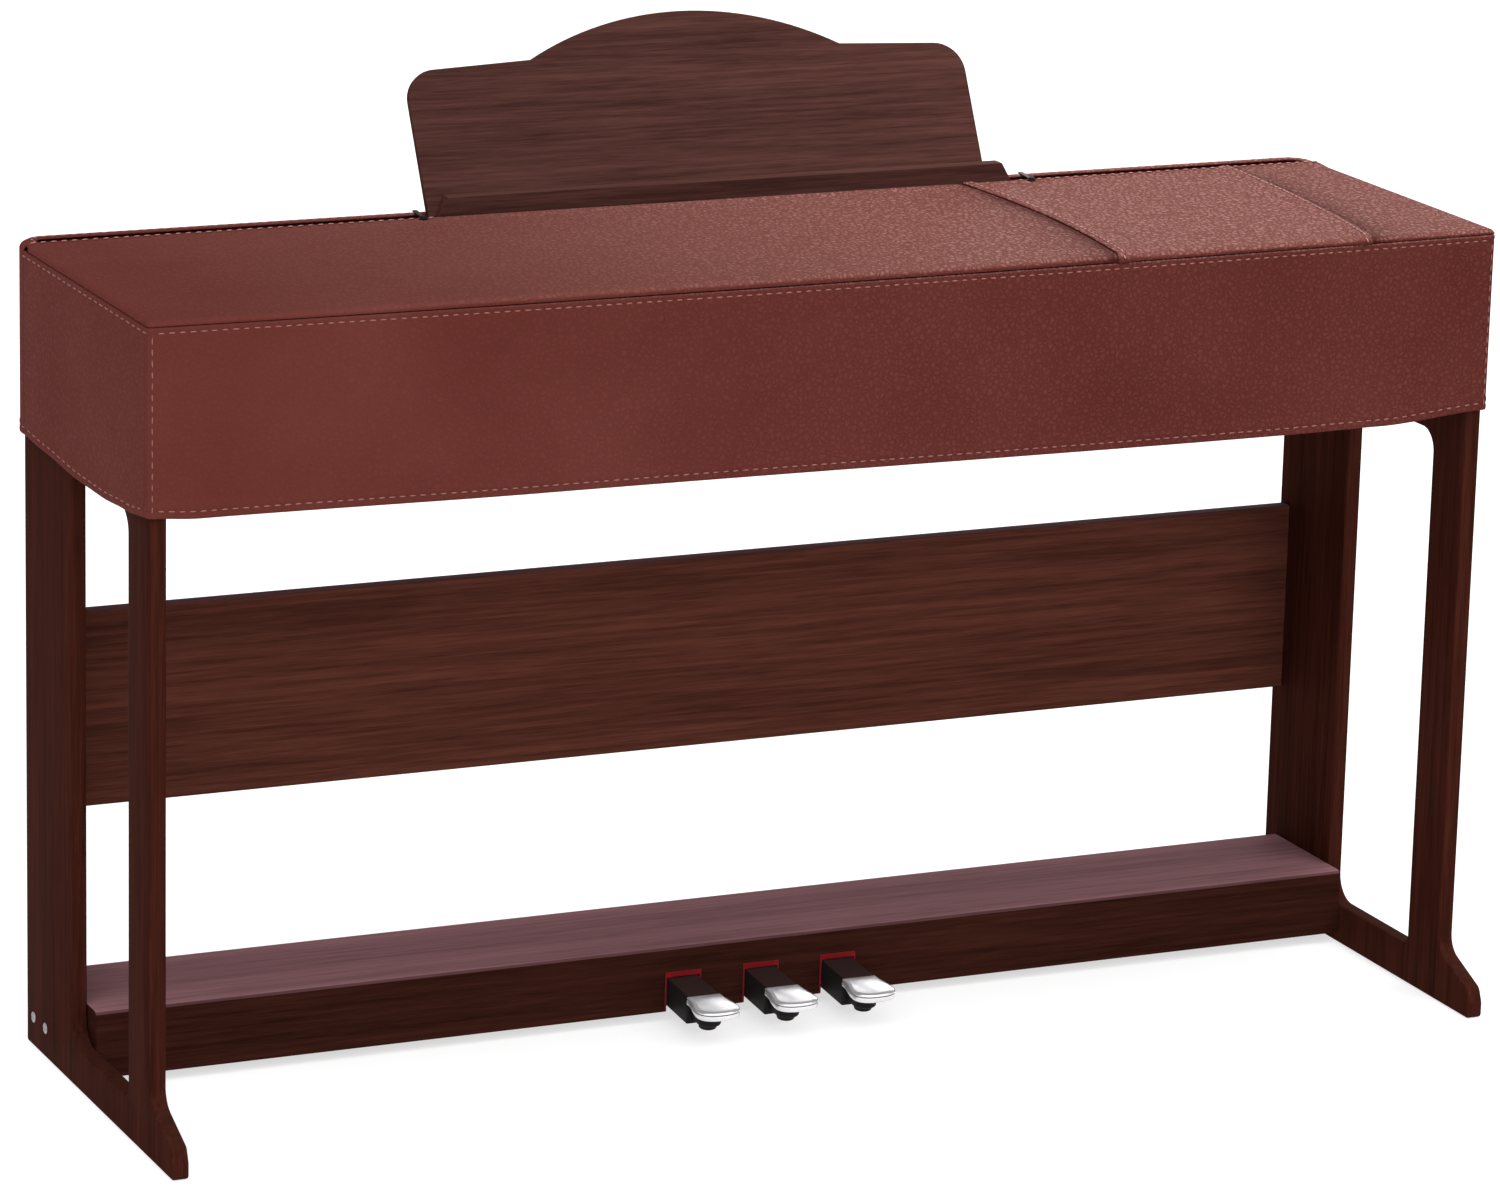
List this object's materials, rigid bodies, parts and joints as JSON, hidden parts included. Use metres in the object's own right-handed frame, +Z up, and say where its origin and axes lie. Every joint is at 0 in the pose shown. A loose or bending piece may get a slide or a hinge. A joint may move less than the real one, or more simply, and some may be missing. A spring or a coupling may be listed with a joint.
{
  "type": "fitted piano cover on a digital piano",
  "caption": "Sewn leathercloth cover fitted over the case of a digital piano, with a slit for its music rest, on the piano's framed stand with sprung pedals.",
  "frame": {"origin": "on the floor, under the middle of the whole object's box", "axes": "+X to the player's right along the piano, +Y from the player's side to the back, +Z up"},
  "size_m": [1.383, 0.5208, 0.9579],
  "materials": {
    "leathercloth": "grained satin",
    "stand_wood": "dark stain, satin",
    "rest_wood": "walnut, satin",
    "black_plastic": "satin",
    "polished_metal": "polished",
    "felt": "felt"
  },
  "bodies": {
    "piano": {"top_panel_left": "leathercloth", "top_panel_middle": "leathercloth", "top_panel_right": "leathercloth", "front_panel": "leathercloth", "end_panel_left": "leathercloth", "end_panel_right": "leathercloth", "rear_panel": "leathercloth", "hook_left": "black_plastic", "hook_right": "black_plastic", "button_left": "black_plastic", "button_right": "black_plastic", "piano_case": "stand_wood", "side_frame_left": "stand_wood", "side_frame_right": "stand_wood", "back_board": "stand_wood", "pedal_box": "stand_wood", "music_rest_board": "rest_wood", "music_rest_ledge": "rest_wood", "felt_left": "felt", "felt_middle": "felt", "felt_right": "felt", "screw_left_rear": "polished_metal", "screw_left_fore": "polished_metal", "screw_right_rear": "polished_metal", "screw_right_fore": "polished_metal"},
    "pedal_left": {"pedal_lever_left": "black_plastic", "pedal_cap_left": "polished_metal"},
    "pedal_middle": {"pedal_lever_middle": "black_plastic", "pedal_cap_middle": "polished_metal"},
    "pedal_right": {"pedal_lever_right": "black_plastic", "pedal_cap_right": "polished_metal"}
  },
  "joints": [
    {"name": "pedal_left_press", "type": "hinge", "parent": "piano", "child": "pedal_left", "pos_m": [-0.0655, 0.05, 0.04], "axis": [1, 0, 0], "range_deg": [0, 4], "stiffness_Nm_per_rad": 12, "springref_deg": -2.86},
    {"name": "pedal_middle_press", "type": "hinge", "parent": "piano", "child": "pedal_middle", "pos_m": [0.018, 0.05, 0.04], "axis": [1, 0, 0], "range_deg": [0, 4], "stiffness_Nm_per_rad": 12, "springref_deg": -2.86},
    {"name": "pedal_right_press", "type": "hinge", "parent": "piano", "child": "pedal_right", "pos_m": [0.1015, 0.05, 0.04], "axis": [1, 0, 0], "range_deg": [0, 4], "stiffness_Nm_per_rad": 12, "springref_deg": -2.86}
  ]
}
